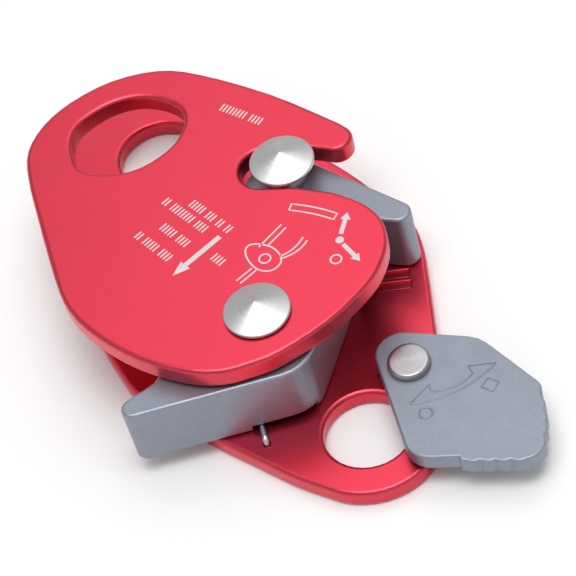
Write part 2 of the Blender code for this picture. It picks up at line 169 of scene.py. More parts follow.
def finish_faces(piece: Piece, angle: float = 32.0) -> None:
    """Join the thin triangles that cutting leaves, and shade flat faces flat and rounded edges round.

    Args:
        piece: the piece, with all its cuts made.
        angle: the least angle between faces that shows as a crease, in degrees.
    """
    with EditMode(piece):
        bpy.ops.mesh.dissolve_degenerate(threshold=0.002 * MM)
        bpy.ops.mesh.select_all(action="SELECT")
        bpy.ops.mesh.dissolve_limited(angle_limit=radians(0.4), use_dissolve_boundaries=False)
    soften(piece, angle)
    level = piece.modifiers.new("level", "WEIGHTED_NORMAL")
    level.mode = "FACE_AREA"
    level.weight = 100
    level.keep_sharp = True
    bpy.ops.object.modifier_apply(modifier=level.name)


def polar(centre: Point, radius: float, angle: float) -> Point:
    """Return the point at a radius and an angle in degrees round a centre."""
    return (centre[0] + radius * cos(radians(angle)), centre[1] + radius * sin(radians(angle)))


def arc(centre: Point, radius: float, start: float, end: float, steps: int) -> Loop:
    """Return points along an arc, both ends included."""
    return [polar(centre, radius, start + (end - start) * k / steps) for k in range(steps + 1)]


def bow_arc(start: Point, middle: Point, end: Point, steps: int) -> Loop:
    """Return points along the arc from a start through a middle point to an end."""
    a, b, c = Vector(start), Vector(middle), Vector(end)
    u, v = b - a, c - a
    cross = 2 * (u.x * v.y - u.y * v.x)
    centre = a + Vector((v.y * u.dot(u) - u.y * v.dot(v), u.x * v.dot(v) - v.x * u.dot(u))) / cross
    first = degrees(atan2(*(a - centre).yx))
    sweep = degrees(atan2(*(c - centre).yx)) - first
    sweep = (sweep + 180) % 360 - 180
    return arc(tuple(centre), (a - centre).length, first, first + sweep, steps)


def capsule(start: Point, end: Point, width: float, steps: int = 10) -> Loop:
    """Return the outline of a bar with round ends."""
    along = degrees(atan2(end[1] - start[1], end[0] - start[0]))
    half = width / 2
    return (arc(start, half, along + 90, along + 270, steps)
            + arc(end, half, along - 90, along + 90, steps))


def beside(route: Loop, reach: float, closed: bool = False) -> Loop:
    """Return the points that lie beside a route.

    Args:
        route: the route's points.
        reach: how far to its left they lie, or to its right where it is negative.
        closed: whether the route's end joins its start.

    Returns:
        One point for each of the route's own.
    """
    out, last = [], len(route) - 1
    for i, (x, y) in enumerate(route):
        if closed:
            before, after = route[i - 1], route[(i + 1) % len(route)]
        else:
            before, after = route[max(i - 1, 0)], route[min(i + 1, last)]
        along = Vector((after[0] - before[0], after[1] - before[1])).normalized() * reach
        out.append((x - along.y, y + along.x))
    return out


def stroke(route: Loop, width: float) -> Loop:
    """Return the outline of a line of even width drawn along an open route."""
    return beside(route, width / 2) + beside(route, -width / 2)[::-1]


def section(node: str, height: float) -> list[Loop]:
    """Return the closed outlines of a CAD node at one height, the longest first, in millimetres.

    Args:
        node: the CAD node's name.
        height: the height of the section above the rear face, in millimetres.

    Returns:
        One list of points for each closed outline.
    """
    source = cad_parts[node]
    copy = link_new("section", source.data.copy())
    with EditMode(copy):
        bpy.ops.mesh.remove_doubles(threshold=0.001 * MM)
        bpy.ops.mesh.select_all(action="SELECT")
        bpy.ops.mesh.bisect(plane_co=(0, 0, height * MM), plane_no=(0, 0, 1),
                            clear_inner=True, clear_outer=True)
        bpy.ops.mesh.select_all(action="SELECT")
        bpy.ops.mesh.remove_doubles(threshold=0.01 * MM)
    near: dict[int, list[int]] = {}
    for edge in copy.data.edges:
        a, b = edge.vertices
        near.setdefault(a, []).append(b)
        near.setdefault(b, []).append(a)
    places = [(v.co.x / MM, v.co.y / MM) for v in copy.data.vertices]
    bpy.data.objects.remove(copy, do_unlink=True)
    loops = []
    while near:
        first = next(iter(near))
        loop, here = [first], near.pop(first)[0]
        while here != first:
            onward = [n for n in near.pop(here) if n != loop[-1]]
            loop.append(here)
            here = onward[0]
        loops.append([places[i] for i in loop])
    return sorted(loops, key=length_round, reverse=True)


def length_round(loop: Loop) -> float:
    """Return the length of a closed outline."""
    return sum(hypot(b[0] - a[0], b[1] - a[1]) for a, b in zip(loop, loop[1:] + loop[:1]))


def radius_of(loop: Loop, centre: Point) -> float:
    """Return the mean radius of a round outline."""
    return sum(hypot(x - centre[0], y - centre[1]) for x, y in loop) / len(loop)


def flowing(loop: Loop, spacing: float, crease: float = 32.0) -> Loop:
    """Return a closed outline with points added on a smooth curve through its own, except at its corners.

    Args:
        loop: the outline.
        spacing: the distance between the new points, in millimetres.
        crease: a point where the outline turns by more than this many degrees stays a corner.

    Returns:
        The finer outline.
    """
    count = len(loop)
    chords = [Vector(loop[(i + 1) % count]) - Vector(loop[i]) for i in range(count)]
    limit = cos(radians(crease))
    out = []
    for i, chord in enumerate(chords):
        before, after = chords[i - 1], chords[(i + 1) % count]
        length = chord.length
        unit = chord.normalized()
        leave = (before + chord).normalized() if before.normalized().dot(unit) > limit else unit
        arrive = (chord + after).normalized() if after.normalized().dot(unit) > limit else unit
        start, end = Vector(loop[i]), Vector(loop[(i + 1) % count])
        steps = max(1, round(length / spacing))
        for k in range(steps):
            t = k / steps
            p = (start * (2 * t ** 3 - 3 * t ** 2 + 1) + leave * length * (t ** 3 - 2 * t ** 2 + t)
                 + end * (3 * t ** 2 - 2 * t ** 3) + arrive * length * (t ** 3 - t ** 2))
            out.append((p.x, p.y))
    return out


def add_run(curve: bpy.types.Curve, places: list[Triple], closed: bool = False) -> None:
    """Add a run of straight stretches through places in millimetres to a curve."""
    spline = curve.splines.new("POLY")
    spline.points.add(len(places) - 1)
    for point, place in zip(spline.points, places):
        point.co = (*(value * MM for value in place), 1)
    spline.use_cyclic_u = closed


def slab(name: str, loops: list[Loop], low: float, top: float, rounding: float = 0.0,
         steps: int = 5) -> Piece:
    """Return a flat piece with rounded edges between two heights.

    Args:
        name: the piece's name.
        loops: its rim and its holes, in millimetres.
        low: the height of its lower face.
        top: the height of its upper face.
        rounding: the radius of its edges.
        steps: how many steps round each edge takes.

    Returns:
        The piece, its place in its mesh.
    """
    curve = bpy.data.curves.new(name, "CURVE")
    curve.dimensions = "2D"
    curve.fill_mode = "BOTH"
    curve.extrude = ((top - low) / 2 - rounding) * MM
    curve.bevel_depth = rounding * MM
    curve.bevel_resolution = steps
    curve.offset = -rounding * MM
    for loop in loops:
        add_run(curve, [(x, y, 0.0) for x, y in loop], closed=True)
    piece = link_new(name, curve)
    piece.location.z = (low + top) / 2 * MM
    activate(piece)
    bpy.ops.object.convert(target="MESH")
    piece = bpy.context.view_layer.objects.active
    settle_place(piece)
    weld(piece)
    return piece


def turned(name: str, profile: list[Point], centre: Point, steps: int = 96) -> Piece:
    """Return a turned piece, spun from its profile.

    Args:
        name: the piece's name.
        profile: (radius, height) points in millimetres, from end to end or closed on itself.
        centre: the place of its axis.
        steps: how many steps one turn takes.

    Returns:
        The piece, its place in its mesh.
    """
    bpy.ops.object.select_all(action="DESELECT")
    radius, height = profile[0]
    bpy.ops.mesh.primitive_plane_add(size=MM, location=(radius * MM, 0, height * MM))
    piece = bpy.context.view_layer.objects.active
    piece.name = piece.data.name = name
    settle_place(piece)
    with EditMode(piece):
        bpy.ops.mesh.merge(type="CENTER")
        for (r0, z0), (r1, z1) in zip(profile, profile[1:]):
            bpy.ops.mesh.extrude_region_move(
                TRANSFORM_OT_translate={"value": ((r1 - r0) * MM, 0, (z1 - z0) * MM)})
        bpy.ops.mesh.select_all(action="SELECT")
        bpy.ops.mesh.spin(steps=steps, angle=2 * pi, center=(0, 0, 0), axis=(0, 0, 1))
    piece.location = (centre[0] * MM, centre[1] * MM, 0)
    settle_place(piece)
    weld(piece)
    return piece


def wire(name: str, route: list[Triple], radius: float, sides: int = 5) -> Piece:
    """Return a round wire along a route, in millimetres."""
    curve = bpy.data.curves.new(name, "CURVE")
    curve.dimensions = "3D"
    curve.bevel_depth = radius * MM
    curve.bevel_resolution = sides
    curve.use_fill_caps = True
    add_run(curve, route)
    piece = link_new(name, curve)
    activate(piece)
    bpy.ops.object.convert(target="MESH")
    piece = bpy.context.view_layer.objects.active
    weld(piece)
    soften(piece, 50)
    return piece


# Finishes


class Wiring:
    """A node tree that nodes are added to and joined in."""

    def __init__(self, tree: bpy.types.NodeTree) -> None:
        """Keep the tree."""
        self.tree = tree

    def feed(self, target: Socket, value: object) -> None:
        """Set a socket's value, or join it to the socket that gives it."""
        if isinstance(value, bpy.types.NodeSocket):
            self.tree.links.new(value, target)
        else:
            target.default_value = value

    def node(self, kind: str, inputs: dict[str, object] | None = None, **settings: object) -> bpy.types.Node:
        """Return a new node.

        Args:
            kind: the node's type.
            inputs: a value or a source socket for each of its inputs by name.
            settings: its other properties.

        Returns:
            The node.
        """
        made = self.tree.nodes.new(kind)
        for name, value in settings.items():
            setattr(made, name, value)
        for name, value in (inputs or {}).items():
            self.feed(made.inputs[name], value)
        return made

    def math(self, operation: str, *values: object) -> Socket:
        """Return the result of a Math node on values or sockets."""
        made = self.tree.nodes.new("ShaderNodeMath")
        made.operation = operation
        for target, value in zip(made.inputs, values):
            self.feed(target, value)
        return made.outputs[0]

    def span(self, value: Socket, start: float, end: float, low: object = 0.0, high: object = 1.0) -> Socket:
        """Return a value mapped smoothly from one span to another."""
        made = self.node("ShaderNodeMapRange", interpolation_type="SMOOTHSTEP")
        for name, given in zip(("Value", "From Min", "From Max", "To Min", "To Max"),
                               (value, start, end, low, high)):
            self.feed(made.inputs[name], given)
        return made.outputs["Result"]

    def blend(self, share: object, first: object, second: object, mode: str = "MIX") -> Socket:
        """Return two colours mixed by a share."""
        made = self.tree.nodes.new("ShaderNodeMix")
        made.data_type = "RGBA"
        made.blend_type = mode
        self.feed(made.inputs[0], share)
        self.feed(made.inputs[6], first)
        self.feed(made.inputs[7], second)
        return made.outputs[2]


class Effect(Enum):
    """The surface effects that several finishes share, each one node group."""

    GRAIN = "blasted_grain"
    FLAKE = "bright_flakes"
    RINGS = "lathe_rings"
    CLOUD = "handled_clouds"
    # painted highlight: a paler line of colour along rounded edges, where the lamps catch the curve
    RUBBED = "rubbed_edges"


class EffectShelf:
    """The node groups of the shared effects, each built once when it is first wanted."""

    def __init__(self) -> None:
        """Start with an empty shelf."""
        self.groups: dict[Effect, bpy.types.NodeTree] = {}

    def place(self, wiring: Wiring, effect: Effect, output: str, **inputs: object) -> Socket:
        """Place an effect's group in a material.

        Args:
            wiring: the material's tree.
            effect: which effect.
            output: the name of the wanted output.
            inputs: a value or a source socket for each of the group's inputs.

        Returns:
            The wanted output's socket.
        """
        if effect not in self.groups:
            self.groups[effect] = getattr(self, "build_" + effect.name.lower())()
        made = wiring.node("ShaderNodeGroup", node_tree=self.groups[effect])
        for name, value in inputs.items():
            wiring.feed(made.inputs[name.replace("_", " ").title()], value)
        return made.outputs[output]

    def start(self, effect: Effect, numbers: dict[str, float], outputs: list[str]
              ) -> tuple[Wiring, dict[str, Socket], bpy.types.Node]:
        """Start a node group.

        Args:
            effect: the effect that the group makes.
            numbers: its number inputs and their defaults, next to the vector that each group has.
            outputs: the names of its number outputs.

        Returns:
            The group's wiring, its inputs by name, and its output node.
        """
        tree = bpy.data.node_groups.new(effect.value, "ShaderNodeTree")
        tree.interface.new_socket("Vector", in_out="INPUT", socket_type="NodeSocketVector")
        for name, value in numbers.items():
            socket = tree.interface.new_socket(name, in_out="INPUT", socket_type="NodeSocketFloat")
            socket.default_value = value
        for name in outputs:
            tree.interface.new_socket(name, in_out="OUTPUT", socket_type="NodeSocketFloat")
        wiring = Wiring(tree)
        entry = wiring.node("NodeGroupInput")
        return wiring, {s.name: s for s in entry.outputs}, wiring.node("NodeGroupOutput")

    def build_grain(self) -> bpy.types.NodeTree:
        """Build the fine pitted grain that bead blasting leaves."""
        wiring, given, end = self.start(Effect.GRAIN, {"Scale": 3000.0}, ["Height"])
        noise = wiring.node("ShaderNodeTexNoise", {"Vector": given["Vector"], "Scale": given["Scale"],
                                                   "Detail": 2.0, "Roughness": 0.6})
        fine = wiring.math("MULTIPLY", given["Scale"], 1.9)
        pits = wiring.node("ShaderNodeTexVoronoi", {"Vector": given["Vector"], "Scale": fine})
        wiring.feed(end.inputs["Height"], wiring.math("MULTIPLY_ADD", pits.outputs["Distance"], 0.55,
                                                      noise.outputs["Fac"]))
        return wiring.tree

    def build_flake(self) -> bpy.types.NodeTree:
        """Build the scattered specks of a metallic coat that catch the light."""
        wiring, given, end = self.start(Effect.FLAKE, {"Scale": 4000.0, "Share": 0.2}, ["Mask"])
        cells = wiring.node("ShaderNodeTexVoronoi", {"Vector": given["Vector"], "Scale": given["Scale"]})
        parts = wiring.node("ShaderNodeSeparateColor", {"Color": cells.outputs["Color"]})
        chosen = wiring.math("LESS_THAN", parts.outputs[0], given["Share"])
        near = wiring.span(cells.outputs["Distance"], 0.15, 0.6, 1.0, 0.0)
        graded = wiring.math("MULTIPLY", parts.outputs[1], near)
        wiring.feed(end.inputs["Mask"], wiring.math("MULTIPLY", chosen, graded))
        return wiring.tree

    def build_rings(self) -> bpy.types.NodeTree:
        """Build the uneven fine rings that a lathe leaves round an axis."""
        wiring, given, end = self.start(Effect.RINGS, {"Pitch": 0.0002}, ["Height", "Tone"])
        parts = wiring.node("ShaderNodeSeparateXYZ", {"Vector": given["Vector"]})
        square = wiring.math("ADD", wiring.math("MULTIPLY", parts.outputs[0], parts.outputs[0]),
                             wiring.math("MULTIPLY", parts.outputs[1], parts.outputs[1]))
        turns = wiring.math("DIVIDE", wiring.math("SQRT", square), given["Pitch"])
        fine = wiring.node("ShaderNodeTexNoise", {"W": turns, "Scale": 1.0, "Detail": 2.0},
                           noise_dimensions="1D")
        wide = wiring.node("ShaderNodeTexNoise", {"W": turns, "Scale": 0.16, "Detail": 1.0},
                           noise_dimensions="1D")
        wiring.feed(end.inputs["Height"], fine.outputs["Fac"])
        wiring.feed(end.inputs["Tone"], wide.outputs["Fac"])
        return wiring.tree

    def build_cloud(self) -> bpy.types.NodeTree:
        """Build the soft large patches that handling and the anodising bath leave."""
        wiring, given, end = self.start(Effect.CLOUD, {"Scale": 60.0}, ["Value"])
        noise = wiring.node("ShaderNodeTexNoise", {"Vector": given["Vector"], "Scale": given["Scale"],
                                                   "Detail": 3.0, "Roughness": 0.55})
        wiring.feed(end.inputs["Value"], wiring.span(noise.outputs["Fac"], 0.3, 0.7))
        return wiring.tree

    def build_rubbed(self) -> bpy.types.NodeTree:
        """Build the mask of a painted highlight: a thin line along rounded edges, a little weaker in places.
        """
        numbers = {"Low": 0.0, "Top": 0.005, "Radius": 0.001, "Scale": 900.0}
        wiring, given, end = self.start(Effect.RUBBED, numbers, ["Mask"])
        height = wiring.node("ShaderNodeSeparateXYZ", {"Vector": given["Vector"]}).outputs[2]
        below = wiring.math("SUBTRACT", given["Top"], height)
        above = wiring.math("SUBTRACT", height, given["Low"])
        depth = wiring.math("DIVIDE", wiring.math("MINIMUM", below, above), given["Radius"])
        band = wiring.math("MULTIPLY", wiring.span(depth, 0.0, 0.12), wiring.span(depth, 0.25, 0.8, 1.0, 0.0))
        noise = wiring.node("ShaderNodeTexNoise", {"Vector": given["Vector"], "Scale": given["Scale"],
                                                   "Detail": 2.0})
        broken = wiring.span(noise.outputs["Fac"], 0.3, 0.7, 0.55, 1.0)
        wiring.feed(end.inputs["Mask"], wiring.math("MULTIPLY", band, broken))
        return wiring.tree


SHELF = EffectShelf()


@dataclass(frozen=True)
class Finish:
    """A metal finish with its plain values; each kind adds its own surface."""

    name: str
    colour: Triple
    roughness: float
    metallic: float = 1.0
    coat: float = 0.0
    coat_roughness: float = 0.2
    centre: Triple = (0.0, 0.0, 0.0)
    darker: float = 0.96
    paler: float = 1.03

    def make(self) -> bpy.types.Material:
        """Return the finish as a material."""
        material = bpy.data.materials.new(self.name)
        material.use_nodes = True
        wiring = Wiring(material.node_tree)
        shader = material.node_tree.nodes["Principled BSDF"]
        place = wiring.node("ShaderNodeTexCoord").outputs["Object"]
        centred = wiring.node("ShaderNodeMapping", {"Vector": place,
                                                    "Location": tuple(-c * MM for c in self.centre)})
        shader.inputs["Metallic"].default_value = self.metallic
        shader.inputs["Coat Weight"].default_value = self.coat
        shader.inputs["Coat Roughness"].default_value = self.coat_roughness
        self.surface(wiring, shader, centred.outputs["Vector"])
        return material

    def surface(self, wiring: Wiring, shader: bpy.types.Node, place: Socket) -> None:
        """Join the finish's own colour, roughness and bump to the shader."""
        raise NotImplementedError

    def shade(self, factor: float) -> tuple[float, float, float, float]:
        """Return the finish's colour, darker or lighter by a factor."""
        return tuple(min(1.0, c * factor) for c in self.colour) + (1.0,)

    def mottled(self, wiring: Wiring, share: Socket) -> Socket:
        """Return the finish's colour, going from its darker to its paler shade by a share."""
        return wiring.blend(share, self.shade(self.darker), self.shade(self.paler))

    def join(self, wiring: Wiring, shader: bpy.types.Node, colour: Socket, rough: Socket,
             height: Socket, depth: float) -> None:
        """Join a surface to the shader.

        Args:
            wiring: the material's tree.
            shader: its shader.
            colour: the colour.
            rough: the roughness.
            height: the height that bumps the surface.
            depth: how deep the bumps are, in millimetres.
        """
        bump = wiring.node("ShaderNodeBump", {"Height": height, "Strength": 1.0, "Distance": depth * MM})
        wiring.feed(shader.inputs["Base Color"], colour)
        wiring.feed(shader.inputs["Roughness"], rough)
        wiring.feed(shader.inputs["Normal"], bump.outputs["Normal"])


@dataclass(frozen=True)
class Anodised(Finish):
    """Satin anodising over a blasted plate, with a painted highlight: a paler line along its rounded edges.
    """

    low: float = 0.0
    top: float = 5.0
    edge: float = 1.0
    grain_scale: float = 3600.0
    grain_depth: float = 0.0045
    speck_strength: float = 0.35
    speck_shade: float = 1.25
    # strength and colour of the painted highlight along the rounded edges
    edge_highlight_strength: float = 0.12
    edge_highlight_colour: tuple[float, ...] = (0.95, 0.3, 0.32, 1.0)

    def surface(self, wiring: Wiring, shader: bpy.types.Node, place: Socket) -> None:
        """Join the cloudy colour, the grain and the painted highlight line along the edges."""
        cloud = SHELF.place(wiring, Effect.CLOUD, "Value", vector=place, scale=55.0)
        grain = SHELF.place(wiring, Effect.GRAIN, "Height", vector=place, scale=self.grain_scale)
        # painted highlight: a pale pink line along the rounded edges, mixed into the colour
        edge_highlight = SHELF.place(wiring, Effect.RUBBED, "Mask", vector=place, low=self.low * MM,
                             top=self.top * MM, radius=self.edge * MM, scale=160.0)
        specks = SHELF.place(wiring, Effect.FLAKE, "Mask", vector=place, scale=3200.0, share=0.35)
        speck_share = wiring.math("MULTIPLY", specks, self.speck_strength)
        grained = wiring.blend(speck_share, self.mottled(wiring, cloud), self.shade(self.speck_shade))
        pale = wiring.blend(wiring.math("MULTIPLY", edge_highlight, self.edge_highlight_strength), grained,
                            self.edge_highlight_colour)
        rough = wiring.math("MULTIPLY_ADD", cloud, 0.04, self.roughness - 0.02)
        self.join(wiring, shader, pale, rough, grain, self.grain_depth)


@dataclass(frozen=True)
class Cast(Finish):
    """A pale metallic grey coat on a blasted casting, with bright flakes and a painted highlight along its
    rounded edges.
    """

    low: float = 0.0
    top: float = 5.0
    edge: float = 0.7
    grain_depth: float = 0.008
    flake_strength: float = 0.55
    flake_shade: float = 1.5
    # strength and shade of the painted highlight along the rounded edges
    edge_highlight_strength: float = 0.4
    edge_highlight_shade: float = 1.7

    def surface(self, wiring: Wiring, shader: bpy.types.Node, place: Socket) -> None:
        """Join the flaked colour, the coarse grain and the painted highlight line along the edges."""
        cloud = SHELF.place(wiring, Effect.CLOUD, "Value", vector=place, scale=120.0)
        grain = SHELF.place(wiring, Effect.GRAIN, "Height", vector=place, scale=2600.0)
        flakes = SHELF.place(wiring, Effect.FLAKE, "Mask", vector=place, scale=3600.0, share=0.4)
        # painted highlight: a paler line along the rounded edges, mixed into the colour
        edge_highlight = SHELF.place(wiring, Effect.RUBBED, "Mask", vector=place, low=self.low * MM,
                             top=self.top * MM, radius=self.edge * MM, scale=300.0)
        flake_share = wiring.math("MULTIPLY", flakes, self.flake_strength)
        flaked = wiring.blend(flake_share, self.mottled(wiring, cloud), self.shade(self.flake_shade))
        bright = wiring.blend(wiring.math("MULTIPLY", edge_highlight, self.edge_highlight_strength), flaked,
                              self.shade(self.edge_highlight_shade))
        rough = wiring.math("MULTIPLY_ADD", grain, 0.08, self.roughness - 0.06)
        self.join(wiring, shader, bright, rough, grain, self.grain_depth)


@dataclass(frozen=True)
class Turned(Finish):
    """Bare metal with fine lathe rings round its axis, which spread the light across them."""

    spread: float = 0.62
    pitch: float = 0.09
    ring_depth: float = 0.0006

    def surface(self, wiring: Wiring, shader: bpy.types.Node, place: Socket) -> None:
        """Join the rings' tone and height, and stretch the gloss across the rings."""
        height = SHELF.place(wiring, Effect.RINGS, "Height", vector=place, pitch=self.pitch * MM)
        tone = SHELF.place(wiring, Effect.RINGS, "Tone", vector=place, pitch=self.pitch * MM)
        colour = self.mottled(wiring, wiring.span(tone, 0.35, 0.65))
        rough = wiring.math("MULTIPLY_ADD", tone, 0.06, self.roughness - 0.03)
        self.join(wiring, shader, colour, rough, height, self.ring_depth)
        shader.inputs["Anisotropic"].default_value = self.spread
        wiring.feed(shader.inputs["Tangent"], wiring.node("ShaderNodeTangent", direction_type="RADIAL",
                                                          axis="Z").outputs["Tangent"])


@dataclass(frozen=True)
class Drawn(Finish):
    """Bright drawn wire or plain bearing metal, with faint clouding."""

    darker: float = 0.85
    paler: float = 1.05
    grain_depth: float = 0.002

    def surface(self, wiring: Wiring, shader: bpy.types.Node, place: Socket) -> None:
        """Join the clouded colour and a very fine grain."""
        cloud = SHELF.place(wiring, Effect.CLOUD, "Value", vector=place, scale=400.0)
        grain = SHELF.place(wiring, Effect.GRAIN, "Height", vector=place, scale=5000.0)
        rough = wiring.math("MULTIPLY_ADD", cloud, 0.08, self.roughness)
        self.join(wiring, shader, self.mottled(wiring, cloud), rough, grain, self.grain_depth)


@dataclass(frozen=True)
class Ink(Finish):
    """Matt white printing ink, a little thin in places."""

    darker: float = 0.94
    paler: float = 1.0
    grain_depth: float = 0.003

    def surface(self, wiring: Wiring, shader: bpy.types.Node, place: Socket) -> None:
        """Join the uneven white and its dull, slightly rough face."""
        cloud = SHELF.place(wiring, Effect.CLOUD, "Value", vector=place, scale=900.0)
        grain = SHELF.place(wiring, Effect.GRAIN, "Height", vector=place, scale=4000.0)
        rough = wiring.math("MULTIPLY_ADD", cloud, 0.1, self.roughness)
        self.join(wiring, shader, self.mottled(wiring, cloud), rough, grain, self.grain_depth)


RED = (0.7, 0.043, 0.08)
GREY = (0.285, 0.31, 0.37)
STEEL = (0.78, 0.78, 0.785)
# painted shade: the rivet steel made darker for the lever rivet's flat head, which catches the overhead lamps
SHADED_STEEL = (0.44, 0.435, 0.45)
BRONZE = Drawn("bearing_bronze", (0.62, 0.42, 0.2), 0.35)
WIRE = Drawn("bright_wire", (0.7, 0.7, 0.72), 0.2)
INK = Ink("white_ink", (0.72, 0.64, 0.66), 0.5, metallic=0.0)


# Sub-assemblies


def dress(piece: Piece, finish: Finish) -> None:
    """Give a piece its finish, and no other."""
    piece.data.materials.clear()
    piece.data.materials.append(finish.make())


@dataclass
class SubAssembly:
    """Something built of pieces; it counts them and puts each on its body."""

    made: list[Piece] = field(default_factory=list)

    def settle(self, piece: Piece, body: Body, slot: Slot, finish: Finish, *nodes: str) -> Piece:
        """Dress a finished piece and put it on its body.

        Args:
            piece: the piece, with its place in its mesh.
            body: the body that it moves with.
            slot: the record's material slot; not used.
            finish: its finish.
            nodes: the CAD nodes that it stands for.

        Returns:
            The piece.
        """
        dress(piece, finish)
        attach(piece, body.value)
        if nodes:
            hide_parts(*nodes)
        self.made.append(piece)
        LOG.info("%s: %d faces on %s", piece.name, len(piece.data.polygons), body.value)
        return piece

    def dress_node(self, node: str, finish: Finish) -> None:
        """Give a CAD node that stays its finish."""
        dress(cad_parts[node], finish)
        LOG.info("%s: kept", node)


def heights(node: str) -> Point:
    """Return the lowest and highest height of a CAD node, in millimetres."""
    low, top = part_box(node)
    return low.z / MM, top.z / MM


def middle(node: str) -> Point:
    """Return the place of a round CAD node's axis, in millimetres."""
    low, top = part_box(node)
    return (low.x + top.x) / 2 / MM, (low.y + top.y) / 2 / MM


def half_width(node: str) -> float:
    """Return the radius of a round CAD node, in millimetres."""
    low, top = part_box(node)
    return (top.x - low.x) / 2 / MM


def lathe_steel(name: str, node: str, colour: Triple, roughness: float) -> Turned:
    """Return turned steel with its rings round a CAD node's axis."""
    return Turned(name, colour, roughness, centre=(*middle(node), 0))


@dataclass
class Hardware(SubAssembly):
    """The turned rivets, and the rings round them."""

    rim: float = 0.7
    cone: float = 2.45
    shank: float = 3.5
    tail_flare: float = 1.5
    tail_depth: float = 1.7
    button: float = 1.45
    bevel: float = 0.12
    catch_step: float = 0.4
    lever_step: float = 1.2
    head_roughness: float = 0.36
    button_roughness: float = 0.34
    ring_roughness: float = 0.3
    ground_roughness: float = 0.25

    def ring(self, node: str, body: Body, slot: Slot, finish: Finish) -> Piece:
        """Build a ring in place of a plain CAD ring, with its edges broken.

        Args:
            node: the CAD ring.
            body: the body that it moves with.
            slot: the record's material slot.
            finish: its finish.

        Returns:
            The ring.
        """
        low, top = heights(node)
        centre = middle(node)
        outer, inner = (radius_of(loop, centre) for loop in section(node, (low + top) / 2)[:2])
        b = self.bevel
        profile = [(inner + b, top), (outer - b, top), (outer, top - b), (outer, low + b), (outer - b, low),
                   (inner + b, low), (inner, low + b), (inner, top - b), (inner + b, top)]
        piece = turned(node + "_ring", profile, centre)
        soften(piece, 50)
        return self.settle(piece, body, slot, finish, node)

    def cone_rivet(self, node: str, shank: float) -> Piece:
        """Build a rivet with the large conical head."""
        centre = middle(node)
        radius = half_width(node)
        top = heights(node)[1]
        low = top - self.cone - self.rim
        shoulder = low + self.rim
        profile = [(0, top - 0.03), (0.14, top - 0.045), (0.34, top - 0.13), (radius - 0.55, shoulder + 0.16)]
        profile += arc((radius - 0.42, shoulder - 0.35), 0.42, 75, 0, 6)
        profile += arc((radius - 0.15, low + 0.15), 0.15, 0, -90, 4)
        profile += [(shank, low), (shank, self.tail_depth), (shank + self.tail_flare, 0), (0, 0)]
        piece = turned(node + "_turned", profile, centre, steps=128)
        soften(piece, 24)
        finish = lathe_steel("turned_steel_" + node, node, STEEL, self.head_roughness)
        return self.settle(piece, Body.FRAME, Slot.TURNED, finish, node)

    def button_rivet(self, node: str, shank: float) -> Piece:
        """Build the lever's rivet with its flat, round-edged head."""
        centre = middle(node)
        radius = half_width(node)
        top = heights(node)[1]
        low = top - self.button
        profile = [(0, top), (radius - 1.15, top - 0.03)]
        profile += arc((radius - 0.8, top - 0.85), 0.8, 84, 0, 8)
        profile += [(radius, low + 0.1), (radius - 0.1, low), (shank, low), (shank, self.tail_depth),
                    (shank + self.tail_flare, 0), (0, 0)]
        piece = turned(node + "_turned", profile, centre, steps=96)
        soften(piece, 30)
        # painted shade: the flat head gets the darkened copy of the rivet steel
        finish = lathe_steel("turned_steel_" + node, node, SHADED_STEEL, self.button_roughness)
        return self.settle(piece, Body.FRAME, Slot.TURNED, finish, node)

    def build(self) -> None:
        """Build the rivets and every ring."""
        self.cone_rivet("pivot_rivet", self.shank)
        self.cone_rivet("catch_rivet", self.shank - self.catch_step)
        self.button_rivet("lever_rivet", self.shank - self.lever_step)
        rings = {"pivot_sleeve": (Body.FRAME, Slot.TURNED), "catch_collar": (Body.FRAME, Slot.TURNED),
                 "lever_washer": (Body.FRAME, Slot.TURNED), "cam_thrust_washer": (Body.CAM, Slot.TURNED),
                 "lever_spring_washer": (Body.LEVER, Slot.WIRE), "cam_bush": (Body.CAM, Slot.BRONZE),
                 "front_plate_bush": (Body.COVER, Slot.BRONZE)}
        for node, (body, slot) in rings.items():
            steel = lathe_steel("turned_" + node, node, STEEL, self.ring_roughness)
            finish = {Slot.TURNED: steel, Slot.WIRE: WIRE, Slot.BRONZE: BRONZE}[slot]
            self.ring(node, body, slot, finish)
        for node in ("anvil_dowel_upper", "anvil_dowel_lower", "detent_ball"):
            self.dress_node(node, lathe_steel("turned_" + node, node, STEEL, self.ground_roughness))
        self.dress_node("detent_spring", WIRE)


@dataclass
class Spring(SubAssembly):
    """The cam's torsion spring: a leg anchored in the back plate and a coil round the sleeve."""

    radius: float = 0.65
    coil: float = 5.85
    start: float = 110.0
    turns: float = 2.5
    pitch: float = 1.5
    leg: float = 15.7
    height: float = 5.2
    foot: float = 1.2
    rise: float = 2.6
    bend: float = 1.3
    leg_spare: float = 1.0
    steps: int = 36

    def foot_place(self) -> Point:
        """Return the place where the leg turns down into the back plate."""
        at = polar((0, 0), self.coil, self.start)
        heading = radians(self.start + 90)
        reach = self.leg + self.leg_spare
        return at[0] + reach * cos(heading), at[1] + reach * sin(heading)

    def build(self) -> None:
        """Build the spring in place of its CAD stand-in."""
        at = polar((0, 0), self.coil, self.start)
        down = self.foot_place()
        heading = Vector((at[0] - down[0], at[1] - down[1])).normalized()
        route = [(*down, self.foot)]
        for k in range(7):
            turn = radians(90 * k / 6)
            out = self.bend * (1 - cos(turn))
            route.append((down[0] + heading.x * out, down[1] + heading.y * out,
                          self.height - self.bend + self.bend * sin(turn)))
        for k in range(round(self.turns * self.steps) + 1):
            place = polar((0, 0), self.coil, self.start - 360 * k / self.steps)
            route.append((*place, self.height + self.pitch * k / self.steps))
        last = route[-1]
        route.append((last[0], last[1], last[2] + self.rise))
        piece = wire("cam_spring_wire", route, self.radius)
        self.settle(piece, Body.FRAME, Slot.WIRE, WIRE, "cam_spring")


